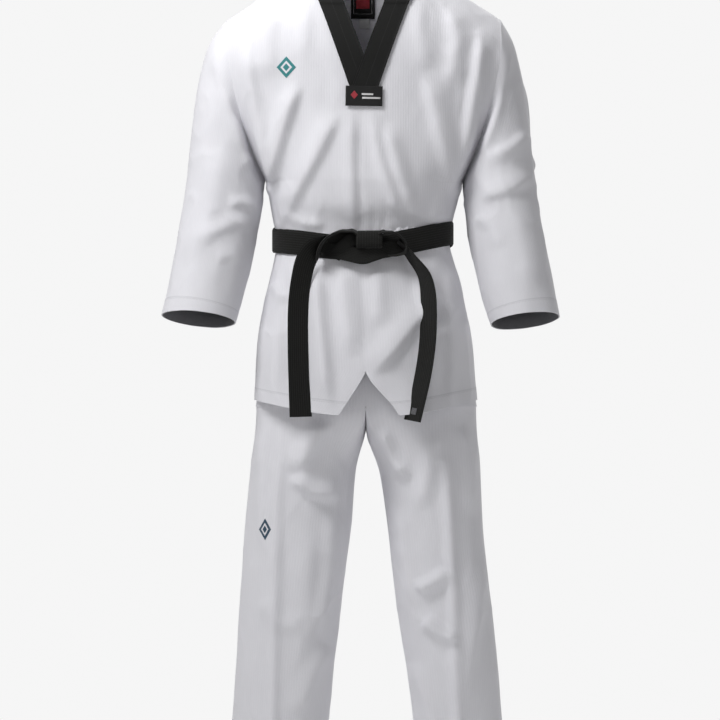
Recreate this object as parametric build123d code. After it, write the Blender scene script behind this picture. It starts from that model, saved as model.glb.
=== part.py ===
"""Martial arts uniform as worn: a V-neck pullover jacket, elasticated trousers and a tied belt.

Row frame in millimetres: +Z up, the wearer faces -Y, the wearer's left is +X.
The origin is midway between the points where the shoulders meet the neck.
Each cloth panel is a shell between two stacks of level or tilted ellipses joined by ruled faces.
"""

from build123d import *
import math
import os

os.makedirs("parts", exist_ok=True)

# ---------------------------------------------------------------- driving dimensions
CLOTH = 2.5  # thickness of a sewn cloth panel with its seam allowance
BAND = 4.0  # thickness of the folded collar band
TRIM = 1.2  # thickness of a label or an embroidered mark
SEW_GAP = 0.4  # clearance between a trim piece and the cloth under it
JOINT_GAP = 2.0  # clearance across a seam that the cloth bends at

NECK_TOP = 26.0  # top edge of the back of the collar
COLLAR_SEAM_BACK = -22.0  # where the back of the collar is sewn to the back panel
ARMHOLE_TOP = (240.0, -105.0)  # x and z of the armhole seam on top of the shoulder
ARMHOLE_FOOT = (189.0, -376.0)  # x and z of the armhole seam under the arm
SIDE_SEAM_Y = 4.0  # the side seams run down this plane
CENTRE_SEAM_X = -8.0  # the seam down the middle of the jacket's front
HEM_CENTRE = -801.0  # jacket hem in the middle
HEM_SLOPE = 0.17  # height that the hem gains for each mm towards the sides

V_FOOT = -170.0  # lowest point of the neck opening
V_TOP = 80.0  # the V is cut from above the collar
V_SLOPE = 0.377  # half width of the neck opening gained for each mm of height
BAND_WIDTH = 42.0  # width of the collar band
PATCH_SIZE = (64.0, 35.0)  # the tab that finishes the foot of the collar
PATCH_Z = -241.5  # middle of the tab
COLLAR_END = PATCH_Z - 8.0  # the bands end behind the tab
VENT_APEX = (3.0, -724.0)  # x and z of the top of the notch in the front hem
VENT_FEET = (-44.0, 57.0)  # x of the notch's sides at the hem
BELOW_HEM = 40.0  # how far the notch's cutting block reaches below the hem

BELT_WIDTH = 42.0
BELT_THICK = 3.3
BELT_Z = -488.0
BELT_TILT = 3.2  # degrees: the belt sits higher on the wearer's left
WAIST = (152.0, 112.0)  # half width and half depth of the jacket under the belt
WAIST_BAND = (-455.0, -521.0)  # heights between which the belt grips the jacket
KNOT_DEPTH = 24.0
BELT_SIDE_ROOM = 2.0  # the tilt brings the sides of the belt nearer to the jacket by this much
TAIL_HINGE = (-133.3, -520.0)  # y and z of the line that the tails hang from
TAIL_LEAN = 4.0  # degrees that the tails lean forward over the skirt

WAISTBAND_TOP = -470.0
WAISTBAND_HEIGHT = 42.0
WAISTBAND = (147.0, 107.0)
WAISTBAND_THICK = 6.0
ELASTIC_THICK = 2.4
HIP_FOOT = -794.0  # lower edge of the hip panels
HIP_SEAM_X = 5.0  # the seam between the left and the right hip panels
LEG_TOP = -803.0  # the legs swing about the middle of their top edge
LEG_SWING = (-15, -5, 5, 15, 25, 35)  # degrees forward, from one limit to the other
LEG_ROOM = 2.5  # clearance around the swinging legs
ANKLE_Z = -1535.0
FACING_THICK = 1.4
FACING_HEIGHT = 30.0

FAR = 700.0  # reach of a cutting block to the sides, the front, the back and the top
DEEP = -2000.0  # foot of a cutting block, below every panel

# Level sections of the jacket's outer surface: height, half width, half depth, centre y.
# Between the shoulder and the armpit they run out into the sleeve, and the armhole trims them.
JACKET = [
    (NECK_TOP, 62.0, 56.0, 14.0),
    (0.0, 74.0, 64.0, 12.0),
    (COLLAR_SEAM_BACK, 106.0, 80.0, 8.0),
    (-73.0, 174.0, 100.0, 4.0),
    (-105.0, 240.0, 112.0, 0.0),
    (-150.0, 285.0, 120.0, 0.0),
    (-220.0, 295.0, 128.0, 0.0),
    (-300.0, 245.0, 132.0, 0.0),
    (-376.0, 190.0, 130.0, 0.0),
    (-430.0, 169.0, 122.0, 0.0),
    (WAIST_BAND[0], WAIST[0], WAIST[1], 0.0),
    (WAIST_BAND[1], WAIST[0], WAIST[1], 0.0),
    (-545.0, 165.0, 120.0, 0.0),
    (-640.0, 181.0, 138.0, 0.0),
    (-820.0, 194.0, 155.0, 0.0),
]
# Sections of each sleeve: the outer and the inner point of its ellipse (x, z), half depth, centre y.
LEFT_SLEEVE = [
    ((240.0, -105.0), (189.0, -376.0), 84.0, 0.0),
    ((271.0, -178.0), (190.0, -388.0), 86.0, -2.0),
    ((289.0, -283.0), (188.0, -412.0), 82.0, -8.0),
    ((304.5, -423.0), (184.0, -458.0), 76.0, -22.0),
    ((324.0, -528.0), (194.0, -534.0), 72.0, -42.0),
    ((341.0, -626.0), (223.0, -639.0), 66.0, -64.0),
]
RIGHT_SLEEVE = [
    ((-240.0, -105.0), (-189.0, -376.0), 84.0, 0.0),
    ((-281.0, -178.0), (-190.0, -388.0), 86.0, -2.0),
    ((-298.0, -283.0), (-188.0, -412.0), 82.0, -8.0),
    ((-314.5, -423.0), (-184.0, -458.0), 76.0, -22.0),
    ((-334.0, -528.0), (-199.0, -534.0), 72.0, -42.0),
    ((-353.0, -623.0), (-225.0, -636.0), 66.0, -64.0),
]
# Hip panels of the trousers: height, half width, half depth, centre y.
HIPS = [
    (WAISTBAND_TOP - WAISTBAND_HEIGHT, WAISTBAND[0], WAISTBAND[1], 0.0),
    (-560.0, 157.0, 111.0, 0.0),
    (-640.0, 170.0, 118.0, 0.0),
    (-720.0, 178.0, 122.0, 0.0),
    (HIP_FOOT, 186.0, 125.0, 0.0),
]
# Legs below the hip panels: height, half width, half depth, centre x.
LEFT_LEG = [
    (LEG_TOP, 90.5, 92.0, 100.5),
    (-850.0, 92.0, 92.0, 108.0),
    (-950.0, 85.0, 91.0, 122.0),
    (-1125.0, 84.0, 88.0, 142.0),
    (-1300.0, 79.0, 84.0, 161.0),
    (ANKLE_Z, 75.0, 80.0, 186.0),
]
RIGHT_LEG = [
    (LEG_TOP, 92.0, 92.0, -97.0),
    (-850.0, 92.5, 92.0, -102.0),
    (-950.0, 93.0, 91.0, -112.0),
    (-1125.0, 88.5, 88.0, -128.5),
    (-1300.0, 85.5, 84.0, -143.5),
    (ANKLE_Z, 81.0, 80.0, -164.0),
]


# ---------------------------------------------------------------- building blocks
def save(shape, name):
    """Writes one sub-part as a compound of its solids."""
    solids = shape.solids() if hasattr(shape, "solids") else shape
    export_step(Compound(children=list(solids)), f"parts/{name}.step")


def oval(plane, half_width, half_depth):
    """Elliptical face made from a circle, so that it starts at the same point whichever axis is longer."""
    return plane * scale(Circle(half_width), by=(1, half_depth / half_width, 1))


def level_stack(sections, grow=0.0, lift=0.0):
    """Solid through level ellipses of (height, half width, half depth, centre y), grown outwards."""
    faces = [oval(Plane(origin=(0, y, z + lift)), a + grow, b + grow) for z, a, b, y in sections]
    return loft(faces, ruled=True)


def leg_stack(sections, grow=0.0):
    """Solid through level ellipses of (height, half width, half depth, centre x)."""
    faces = [oval(Plane(origin=(x, 0, z)), a + grow, b + grow) for z, a, b, x in sections]
    return loft(faces, ruled=True)


def sleeve_stack(sections, grow=0.0):
    """Solid through ellipses that each span an outer and an inner point of the sleeve."""
    faces = []
    for outer, inner, depth, y in sections:
        span = Vector(outer[0] - inner[0], 0, outer[1] - inner[1])
        middle = ((outer[0] + inner[0]) / 2, y, (outer[1] + inner[1]) / 2)
        plane = Plane(origin=middle, x_dir=span, z_dir=span.cross(Vector(0, 1, 0)))
        faces.append(oval(plane, span.length / 2 + grow, depth + grow))
    return loft(faces, ruled=True)


def longer(sections, reach):
    """The same stack with its last section carried further down, so that a hollow runs right through."""
    last, before = sections[-1], sections[-2]
    share = reach / (before[0] - last[0])
    extra = tuple(l + (l - b) * share for l, b in zip(last, before))
    return sections[:-1] + [extra]


def wedge(outline, front=True, back=True):
    """Prism of an outline in x and z, through the front, the back or both."""
    face = Plane.XZ * make_face(Polyline(*outline, close=True))
    near, far = (FAR if front else -SIDE_SEAM_Y), (FAR if back else SIDE_SEAM_Y)
    block = extrude(face, amount=near + far)
    return Pos(0, far, 0) * block


def slab(low, high):
    """Box between two corners."""
    size = [h - l for l, h in zip(low, high)]
    return Pos(*[(l + h) / 2 for l, h in zip(low, high)]) * Box(*size)


FRONT = slab((-FAR, -FAR, DEEP), (FAR, SIDE_SEAM_Y, FAR))
BACK = slab((-FAR, SIDE_SEAM_Y, DEEP), (FAR, FAR, FAR))


# ---------------------------------------------------------------- jacket body and collar
def skin(outer, inner):
    """The layer of the jacket between two offsets from its outer surface, outwards being positive."""
    solid = level_stack(JACKET, outer, lift=outer)
    z, half_width, half_depth, y = JACKET[0]
    # the hollow goes on above the neck, so that the collar is open at the top
    above_neck = (z + 10, half_width - 6, half_depth - 6, y)
    hollow = level_stack([above_neck] + JACKET, inner, lift=inner)
    below = slab((-FAR, -FAR, DEEP), (FAR, FAR, JACKET[-1][0] + outer - inner + 1))
    return (solid - hollow) - below


def neck_v(half_gap):
    """Outline of the V of the collar, half_gap wider on each side than the neck opening."""
    sideways = half_gap * math.sqrt(1 + V_SLOPE**2)
    foot_z = V_FOOT - sideways / V_SLOPE
    half = (V_TOP - V_FOOT) * V_SLOPE + sideways
    return [(0, foot_z), (half, V_TOP), (-half, V_TOP)]


def armhole_blocks():
    """Blocks that hold everything beyond each armhole seam, down to the armpit."""
    blocks = []
    run = Vector(ARMHOLE_TOP[0] - ARMHOLE_FOOT[0], 0, ARMHOLE_TOP[1] - ARMHOLE_FOOT[1]).normalized()
    above_armpit = slab((-FAR, -FAR, ARMHOLE_FOOT[1] - JOINT_GAP), (FAR, FAR, FAR))
    for side in (1, -1):
        normal = Vector(side * run.Z, 0, -run.X)
        origin = Vector(side * ARMHOLE_TOP[0], 0, ARMHOLE_TOP[1]) - normal * (JOINT_GAP / 2)
        plane = Plane(origin=origin, x_dir=(0, 1, 0), z_dir=normal)
        blocks.append((plane * Pos(0, 0, FAR / 2) * Box(2 * FAR, 2 * FAR, FAR)) & above_armpit)
    return blocks


def hem_block():
    """Everything below the jacket's hem, which rises towards both sides."""
    corner = HEM_CENTRE + FAR * HEM_SLOPE
    return wedge([(-FAR, corner), (0, HEM_CENTRE), (FAR, corner), (FAR, DEEP), (-FAR, DEEP)])


def vent_block():
    """The notch in the front hem, carried on below it along the same two sides."""
    apex_x, apex_z = VENT_APEX
    foot_z = HEM_CENTRE - BELOW_HEM
    spread = (foot_z - apex_z) / (HEM_CENTRE - apex_z)
    feet = [(apex_x + (x - apex_x) * spread, foot_z) for x in VENT_FEET]
    return wedge([VENT_APEX] + feet, back=False)


def build_jacket():
    """The body, cut along its seams, and the collar around the neck opening."""
    opening = wedge(neck_v(0), back=False)
    collar_zone = wedge(neck_v(BAND_WIDTH), back=False)
    above_collar_end = slab((-FAR, -FAR, COLLAR_END), (FAR, FAR, FAR))
    above_back_seam = slab((-FAR, SIDE_SEAM_Y, COLLAR_SEAM_BACK), (FAR, FAR, FAR))

    body = skin(0, -CLOTH)
    for block in armhole_blocks():
        body -= block
    body -= hem_block()
    front = (body & FRONT) - vent_block()
    front -= collar_zone & above_collar_end
    left_half = slab((CENTRE_SEAM_X, -FAR, DEEP), (FAR, FAR, FAR))
    save(front & left_half, "jacket_front_left")
    save(front - left_half, "jacket_front_right")
    back = (body & BACK) - above_back_seam
    save(back & slab((SEW_GAP / 2, -FAR, DEEP), (FAR, FAR, FAR)), "jacket_back_left")
    save(back & slab((-FAR, -FAR, DEEP), (-SEW_GAP / 2, FAR, FAR)), "jacket_back_right")

    band = skin(BAND - CLOTH, -CLOTH)
    front_band = ((band & FRONT) & collar_zone & above_collar_end) - opening
    middle = slab((0, -FAR, -FAR), (FAR, FAR, FAR))
    save(front_band & middle, "collar_left")
    save(front_band - middle, "collar_right")
    save((band & BACK) & above_back_seam, "collar_back")


# ---------------------------------------------------------------- labels and marks
def plate(centre, size, under, thick, front=True):
    """Thin piece over the offset "under" of the jacket's surface, a rectangle from the front."""
    (x, z), (w, h) = centre, size
    low = (x - w / 2, -FAR if front else SIDE_SEAM_Y, z - h / 2)
    high = (x + w / 2, SIDE_SEAM_Y if front else FAR, z + h / 2)
    return slab(low, high) & skin(under + thick, under)


def lozenge(centre, size):
    """Prism of a four-cornered mark seen from the front."""
    (x, z), (w, h) = centre, size
    return wedge([(x, z + h / 2), (x + w / 2, z), (x, z - h / 2), (x - w / 2, z)], back=False)


def build_labels():
    """The tab and the mark on the chest, and the two labels inside the back of the neck."""
    lift = BAND - CLOTH + SEW_GAP
    save(plate((0, PATCH_Z), PATCH_SIZE, lift, TRIM), "collar_patch")
    mark = lozenge((-135.0, -193.0), (34.0, 38.0)) & skin(SEW_GAP + TRIM, SEW_GAP)
    save(mark, "chest_emblem")
    inside = -(CLOTH + SEW_GAP + TRIM)
    save(plate((-2.5, -72.0), (42.0, 54.0), inside, TRIM, front=False), "neck_label")
    save(plate((12.0, -108.0), (12.0, 16.0), inside, TRIM, front=False), "size_label")


# ---------------------------------------------------------------- sleeves
def moved(section, way, distance):
    """A sleeve section moved along a direction in x and z."""
    outer, inner, depth, y = section
    points = [(x + way[0] * distance, z + way[1] * distance) for x, z in (outer, inner)]
    return points[0], points[1], depth, y


def between(first, second, share):
    """A sleeve section part of the way from one to another; over 1 is beyond the second."""
    points = [
        tuple(p + (q - p) * share for p, q in zip(a, b)) for a, b in zip(first[:2], second[:2])
    ]
    depth, y = [p + (q - p) * share for p, q in zip(first[2:], second[2:])]
    return points[0], points[1], depth, y


def build_sleeve(sections, name):
    """The front and the back of a sleeve, and the facing inside its cuff."""
    (outer_x, outer_z), (inner_x, inner_z), _, _ = sections[0]
    run = math.dist(sections[0][0], sections[0][1])
    side = math.copysign(1, outer_x)
    out = (side * (outer_z - inner_z) / run, -side * (outer_x - inner_x) / run)
    start = moved(sections[0], out, JOINT_GAP / 2)
    behind = moved(sections[0], out, -JOINT_GAP)
    beyond = between(sections[-2], sections[-1], 1.2)
    wall = sleeve_stack([start] + sections[1:])
    wall -= sleeve_stack([behind] + sections[1:-1] + [beyond], -CLOTH)
    # a sleeve's seams run down the middle of the arm, outside it and under it
    middle = [(y, (outer[1] + inner[1]) / 2) for outer, inner, _, y in sections]
    ahead = [(0, FAR)] + middle + [(middle[-1][0], DEEP), (-FAR, DEEP), (-FAR, FAR)]
    block = extrude(Plane.YZ * make_face(Polyline(*ahead, close=True)), amount=FAR, both=True)
    save(wall & block, f"{name}_sleeve_front")
    save(wall - block, f"{name}_sleeve_back")
    # the facing lines the last stretch of the sleeve, a hair inside it
    share = 1 - FACING_HEIGHT / math.dist(sections[-1][0], sections[-2][0])
    lining = [between(sections[-2], sections[-1], share), sections[-1]]
    outer = sleeve_stack(lining, -CLOTH - SEW_GAP)
    inner = sleeve_stack(lining, -CLOTH - SEW_GAP - FACING_THICK)
    save(outer - inner, f"{name}_cuff_facing")


# ---------------------------------------------------------------- belt
def belt_ring(inner_grow, thick):
    """A wrap of the belt: an upright elliptical band, tilted as the belt sits."""
    a, b = WAIST[0] + BELT_SIDE_ROOM + inner_grow, WAIST[1] + inner_grow
    ring = extrude(Ellipse(a + thick, b + thick) - Ellipse(a, b), BELT_WIDTH / 2, both=True)
    return Pos(0, 0, BELT_Z) * Rot(0, -BELT_TILT, 0) * ring


def knot_fold(x_range, z_range, depth):
    """A fold of the knot: a pillow-shaped block in front of the belt."""
    belt_front = -(WAIST[1] + 2 * BELT_THICK + 3 * SEW_GAP)
    block = slab((x_range[0], belt_front - depth, z_range[0]), (x_range[1], belt_front, z_range[1]))
    return fillet(block.edges().filter_by(Axis.X, reverse=True), 7.0)


def lean(shape):
    """Moves a shape drawn around y = 0 to the tails' hinge line, and leans it forward with them."""
    y, z = TAIL_HINGE
    return Pos(0, y, z) * Rot(-TAIL_LEAN, 0, 0) * Pos(0, 0, -z) * shape


def tail(left_edge, right_edge, name):
    """A hanging end of the belt: a flat strap with two curved edges, seen from the front."""
    outline = [
        Spline(*left_edge),
        Line(left_edge[-1], right_edge[-1]),
        Spline(*reversed(right_edge)),
        Line(right_edge[0], left_edge[0]),
    ]
    strap = extrude(Plane.XZ * make_face(Curve() + outline), BELT_THICK)
    save(lean(Pos(0, BELT_THICK, 0) * strap), name)


def build_belt():
    """Two wraps, the knot in front of them and its two hanging ends."""
    save(belt_ring(SEW_GAP, BELT_THICK), "belt_inner_wrap")
    save(belt_ring(2 * SEW_GAP + BELT_THICK, BELT_THICK), "belt_outer_wrap")
    save(knot_fold((-14.0, 31.0), (-530.0, -477.0), KNOT_DEPTH), "knot_core")
    save(knot_fold((-78.0, -14.5), (-522.0, -479.0), KNOT_DEPTH * 0.8), "knot_right_fold")
    save(knot_fold((31.5, 76.0), (-518.0, -483.0), KNOT_DEPTH * 0.8), "knot_left_fold")
    tail(
        [(-116, -524), (-128, -570), (-133, -640), (-132, -720), (-129.5, -797)],
        [(-80, -527), (-93, -575), (-97, -640), (-96, -720), (-90, -802)],
        "right_belt_tail",
    )
    tail(
        [(74, -521), (94, -560), (98, -613), (96, -674), (89, -730), (69, -810)],
        [(90, -521), (118, -560), (127, -613), (125, -674), (116, -730), (98, -808)],
        "left_belt_tail",
    )
    mark = slab((80.0, -SEW_GAP - TRIM, -796.0), (90.0, -SEW_GAP, -782.0))
    save(lean(mark), "belt_end_mark")


# ---------------------------------------------------------------- trousers
def build_waistband():
    """The casing at the top of the trousers with the elastic inside it."""
    a, b = WAISTBAND
    foot = WAISTBAND_TOP - WAISTBAND_HEIGHT
    wall = (WAISTBAND_THICK - ELASTIC_THICK - 2 * SEW_GAP) / 2
    ring = extrude(Ellipse(a, b) - Ellipse(a - WAISTBAND_THICK, b - WAISTBAND_THICK), WAISTBAND_HEIGHT)
    groove_in = WAISTBAND_THICK - wall
    groove = extrude(
        Ellipse(a - wall, b - wall) - Ellipse(a - groove_in, b - groove_in),
        WAISTBAND_HEIGHT - wall,
    )
    save(Pos(0, 0, foot) * (ring - groove), "waistband_casing")
    outer_in, inner_in = wall + SEW_GAP, wall + SEW_GAP + ELASTIC_THICK
    elastic = extrude(
        Ellipse(a - outer_in, b - outer_in) - Ellipse(a - inner_in, b - inner_in),
        WAISTBAND_HEIGHT - 2 * wall - 2,
    )
    save(Pos(0, 0, foot + 1) * elastic, "waist_elastic")


def build_hips():
    """The four panels over the hips, hollowed where the legs swing, and the gusset between the legs."""
    shell = level_stack(HIPS) - level_stack(longer(HIPS, 20.0), -CLOTH)
    shell -= slab((-FAR, -FAR, DEEP), (FAR, FAR, HIP_FOOT))
    for sections in (LEFT_LEG, RIGHT_LEG):
        room = leg_stack(sections, LEG_ROOM)
        for angle in LEG_SWING:
            shell -= Pos(0, 0, LEG_TOP) * Rot(-angle, 0, 0) * Pos(0, 0, -LEG_TOP) * room
    left = slab((HIP_SEAM_X, -FAR, DEEP), (FAR, FAR, FAR))
    for part, half in (("front", FRONT), ("back", BACK)):
        save((shell & half) & left, f"hip_{part}_left")
        save((shell & half) - left, f"hip_{part}_right")
    reach = HIPS[-1][2] - CLOTH - 0.6
    keel = slab((HIP_SEAM_X - 4, -reach, HIP_FOOT - 3), (HIP_SEAM_X + 1, reach, HIP_FOOT + 12))
    save(keel, "crotch_gusset")


def build_leg(sections, name):
    """The front and the back of a leg, and the facing inside its hem."""
    solid = leg_stack(sections)
    shell = solid - leg_stack(longer(sections, 20.0), -CLOTH)
    save(shell & FRONT, f"{name}_leg_front")
    save(shell & BACK, f"{name}_leg_back")
    last, before = sections[-1], sections[-2]
    share = FACING_HEIGHT / (before[0] - last[0])
    start = tuple(l + (b - l) * share for l, b in zip(last, before))
    outer = leg_stack([start, last], -CLOTH - SEW_GAP)
    inner = leg_stack([start, last], -CLOTH - SEW_GAP - FACING_THICK)
    save(outer - inner, f"{name}_ankle_facing")


def build_leg_emblem():
    """The mark on the front of the right leg."""
    solid = leg_stack(RIGHT_LEG, SEW_GAP + TRIM) - leg_stack(RIGHT_LEG, SEW_GAP)
    save(lozenge((-173.0, -999.0), (24.0, 38.0)) & solid, "leg_emblem")


build_jacket()
build_labels()
build_sleeve(LEFT_SLEEVE, "left")
build_sleeve(RIGHT_SLEEVE, "right")
build_belt()
build_waistband()
build_hips()
build_leg(LEFT_LEG, "left")
build_leg(RIGHT_LEG, "right")
build_leg_emblem()
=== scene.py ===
"""Looks of a martial arts uniform: a pullover jacket with a black collar, a tied belt and trousers.

Shapes are worked out in millimetres in the row frame and turned to metres when a mesh is made.
The wearer faces -Y, and the wearer's left is +X.
"""

import math

import bmesh
import bpy
import numpy as np
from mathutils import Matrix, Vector, noise
from mathutils.bvhtree import BVHTree


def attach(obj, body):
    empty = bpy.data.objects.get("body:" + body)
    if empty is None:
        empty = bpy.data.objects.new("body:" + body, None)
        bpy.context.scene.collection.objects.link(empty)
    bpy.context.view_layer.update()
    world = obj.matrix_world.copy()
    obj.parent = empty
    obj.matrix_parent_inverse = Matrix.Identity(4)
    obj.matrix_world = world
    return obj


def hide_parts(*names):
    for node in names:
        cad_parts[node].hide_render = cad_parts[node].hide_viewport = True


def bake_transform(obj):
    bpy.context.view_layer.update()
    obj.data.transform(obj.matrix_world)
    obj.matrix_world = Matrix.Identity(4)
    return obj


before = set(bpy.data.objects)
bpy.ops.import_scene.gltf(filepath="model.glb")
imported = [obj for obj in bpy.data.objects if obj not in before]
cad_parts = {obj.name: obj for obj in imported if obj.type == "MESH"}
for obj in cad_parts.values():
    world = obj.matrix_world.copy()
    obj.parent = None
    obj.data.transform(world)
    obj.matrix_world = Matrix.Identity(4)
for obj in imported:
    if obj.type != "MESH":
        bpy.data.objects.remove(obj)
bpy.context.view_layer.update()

MM = 0.001
CLOTH = 1.3  # thickness of the cloth
HEM_CLOTH = 2.6  # thickness where the cloth is folded over at a hem
HEM_HEIGHT = 24.0

ARMHOLE = [(240, -106), (241, -150), (231, -215), (210, -295), (190, -350), (173, -388)]
ARMHOLE_DEPTH = 84.0
ARMHOLE_TOP_Z = -106.0
NECK_SIDE = (74.0, -4.0)
SHOULDER_TIP = (240.0, -106.0)
ARMPIT_Z = -388.0
HEM_Z = -799.0
HEM_RISE = 26.0
BELT_WIDTH = 42.0
BELT_FRONT_Z = [(-161, -493), (-110, -498), (-60, -505), (0, -508), (60, -500), (157, -480)]
BELT_BACK_Z = -486.0
WAIST_POWER = 2.3  # squareness of the round of the waist
BELT_THICK = 3.4
V_FOOT = -170.0
V_SLOPE = 0.377
BAND_WIDTH = 42.0
CROTCH_Z = -803.0
FORK_Z = -785.0  # lower edge of the hips, above the crotch
ANKLE_Z = -1535.0
CENTRE_X = 3.0  # the trousers' middle

# Side outlines of the jacket below the armpits: height and x.
RIGHT_SIDE = [
    (-388, -173), (-424, -166), (-458, -160), (-492, -153), (-528, -158), (-563, -166),
    (-600, -175), (-668, -187), (-738, -191), (-805, -193),
]
LEFT_SIDE = [
    (-388, 174), (-424, 165), (-458, 156), (-488, 149), (-528, 157), (-563, 168),
    (-600, 176), (-668, 190), (-738, 196), (-805, 201),
]
# Depth of the jacket in front and behind at the middle: height and distance from the side seams.
FRONT_DEPTH = [
    (-388, 130), (-430, 123), (-462, 112), (-490, 109), (-520, 112), (-548, 121),
    (-640, 137), (-805, 151),
]
BACK_DEPTH = [
    (-388, 127), (-430, 121), (-462, 112), (-490, 109), (-520, 112), (-548, 121),
    (-640, 134), (-805, 143),
]
# The centre-front seam, and below its end the two sides of the notch in the hem.
SEAM_LINE = [(0, -9), (-250, -9.5), (-480, -9.5), (-600, -3), (-724, 3)]
NOTCH_Z = -724.0
NOTCH_RIGHT = [(-724, 3), (-745, -9), (-770, -25), (-799, -44)]
NOTCH_LEFT = [(-724, 3), (-740, 12), (-761, 30), (-780, 48), (-799, 61)]


# ---------------------------------------------------------------- curves and surfaces
def spline(stations, at):
    """Smooth values through (place, value, ...) stations, at an array of places."""
    table = np.array(stations, float)
    if table[0, 0] > table[-1, 0]:
        table = table[::-1]
    place, value = table[:, 0], table[:, 1:]
    step = np.diff(place)[:, None]
    slope = np.diff(value, axis=0) / step
    bend = np.zeros_like(value)
    bend[1:-1] = np.where(slope[:-1] * slope[1:] > 0, (slope[:-1] + slope[1:]) / 2, 0)
    bend[0], bend[-1] = slope[0], slope[-1]
    at = np.clip(np.asarray(at, float), place[0], place[-1])
    k = np.clip(np.searchsorted(place, at, side="right") - 1, 0, len(step) - 1)
    width = step[k, 0]
    t = ((at - place[k]) / width)[..., None]
    width = width[..., None]
    found = (
        (1 + 2 * t) * (1 - t) ** 2 * value[k]
        + t * (1 - t) ** 2 * width * bend[k]
        + t * t * (3 - 2 * t) * value[k + 1]
        + t * t * (t - 1) * width * bend[k + 1]
    )
    return found[..., 0] if value.shape[1] == 1 else found


def lengths(points):
    """How far each point of a line lies along it."""
    return np.concatenate([[0], np.cumsum(np.linalg.norm(np.diff(points, axis=0), axis=1))])


def along(points, at):
    """Smooth path through points, with "at" running from 0 to 1 by length."""
    points = np.array(points, float)
    run = lengths(points)
    return spline(np.column_stack([run / run[-1], points]), at)


def smooth(low, high, value):
    """0 below low, 1 above high and smooth between."""
    t = np.clip((value - low) / (high - low), 0, 1)
    return t * t * (3 - 2 * t)


def mix(a, b, share):
    """The value "share" of the way from a to b."""
    return a + (b - a) * share


def add_quads(faces, index, closed=False):
    """Quads between neighbouring points of a grid of vertex numbers."""
    across = np.concatenate([index, index[:, :1]], axis=1) if closed else index
    a, b = across[:-1, :-1], across[:-1, 1:]
    c, d = across[1:, 1:], across[1:, :-1]
    faces.extend(np.stack([a, b, c, d], axis=-1).reshape(-1, 4).tolist())


def normals_of(points, faces):
    """Unit normals of the vertices, averaged over their faces."""
    quads = np.array([f if len(f) == 4 else (*f, f[0]) for f in faces])
    span = np.cross(points[quads[:, 2]] - points[quads[:, 0]], points[quads[:, 3]] - points[quads[:, 1]])
    total = np.zeros_like(points)
    for corner in range(4):
        np.add.at(total, quads[:, corner], span)
    return total / np.maximum(np.linalg.norm(total, axis=1, keepdims=True), 1e-9)


def weld(points, faces, extra, near=0.05):
    """Joins points that lie together, and drops the faces that vanish."""
    keys = np.round(points / near).astype(np.int64)
    _, first, back = np.unique(keys, axis=0, return_index=True, return_inverse=True)
    back = back.reshape(-1)
    kept = []
    for face in faces:
        ring = [back[i] for i in face]
        ring = [v for i, v in enumerate(ring) if v != ring[i - 1]]
        if len(ring) > 2:
            kept.append(ring)
    return points[first], kept, {name: value[first] for name, value in extra.items()}


def make_mesh(name, points, faces, uv, extra, material):
    """A smooth-shaded object from points in millimetres, with a UV and other values for its points."""
    mesh = bpy.data.meshes.new(name)
    mesh.from_pydata((np.asarray(points) * MM).tolist(), [], [list(map(int, f)) for f in faces])
    mesh.polygons.foreach_set("use_smooth", [True] * len(mesh.polygons))
    corners = np.empty(len(mesh.loops), int)
    mesh.loops.foreach_get("vertex_index", corners)
    if uv is not None:
        layer = mesh.uv_layers.new(name="Weave")
        layer.data.foreach_set("uv", (np.asarray(uv)[corners] * MM).ravel())
    for key, value in (extra or {}).items():
        attribute = mesh.attributes.new(key, "FLOAT", "POINT")
        attribute.data.foreach_set("value", np.asarray(value, np.float32))
    mesh.set_sharp_from_angle(angle=math.radians(48))
    mesh.materials.append(material)
    obj = bpy.data.objects.new(name, mesh)
    bpy.context.scene.collection.objects.link(obj)
    return obj


def thicken(points, faces, thickness):
    """Gives a sheet an inner face and closed rims. Thickness is one value or one for each point."""
    count = len(points)
    depth = np.broadcast_to(thickness, (count,))
    inner = points - normals_of(points, faces) * depth[:, None]
    edges = {}
    for face in faces:
        for i, v in enumerate(face):
            edges[(v, face[(i + 1) % len(face)])] = True
    rims = [(a, b) for a, b in edges if (b, a) not in edges]
    solid = list(faces)
    solid += [[v + count for v in reversed(face)] for face in faces]
    solid += [[b, a, a + count, b + count] for a, b in rims]
    return np.concatenate([points, inner]), solid


def cloth_piece(name, points, faces, uv, material, thickness=CLOTH, hem=None, relief=None, inside_shade=0.0):
    """A closed piece of cloth: welded, pushed out by its relief, and thickened towards its hem.
    inside_shade is how far its inner faces are darkened, a painted shade for the shadow inside the piece."""
    extra = {"u": uv[:, 0], "v": uv[:, 1]}
    if hem is not None:
        extra["hem"] = hem
    points, faces, extra = weld(points, faces, extra)
    if relief is not None:
        points = points + normals_of(points, faces) * relief(points)[:, None]
    depth = thickness
    if hem is not None:
        fold = 1 - smooth(HEM_HEIGHT - 2, HEM_HEIGHT + 2, extra["hem"])
        points = points + normals_of(points, faces) * (fold * 0.5)[:, None]
        depth = mix(thickness, HEM_CLOTH, fold)
    solid, sides = thicken(points, faces, depth)
    # The inner faces carry the inside_shade value, which the cloth's material turns into painted shade.
    inside = np.concatenate([np.zeros(len(points)), np.full(len(points), inside_shade)])
    values = {"inside": inside}
    values["hem"] = np.tile(extra.get("hem", np.full(len(points), 999.0)), 2)
    weave = np.column_stack([np.tile(extra["u"], 2), np.tile(extra["v"], 2)])
    return make_mesh(name, solid, sides, weave, values, material)


# ---------------------------------------------------------------- folds
FOLD_DEPTH = 1.45


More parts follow.
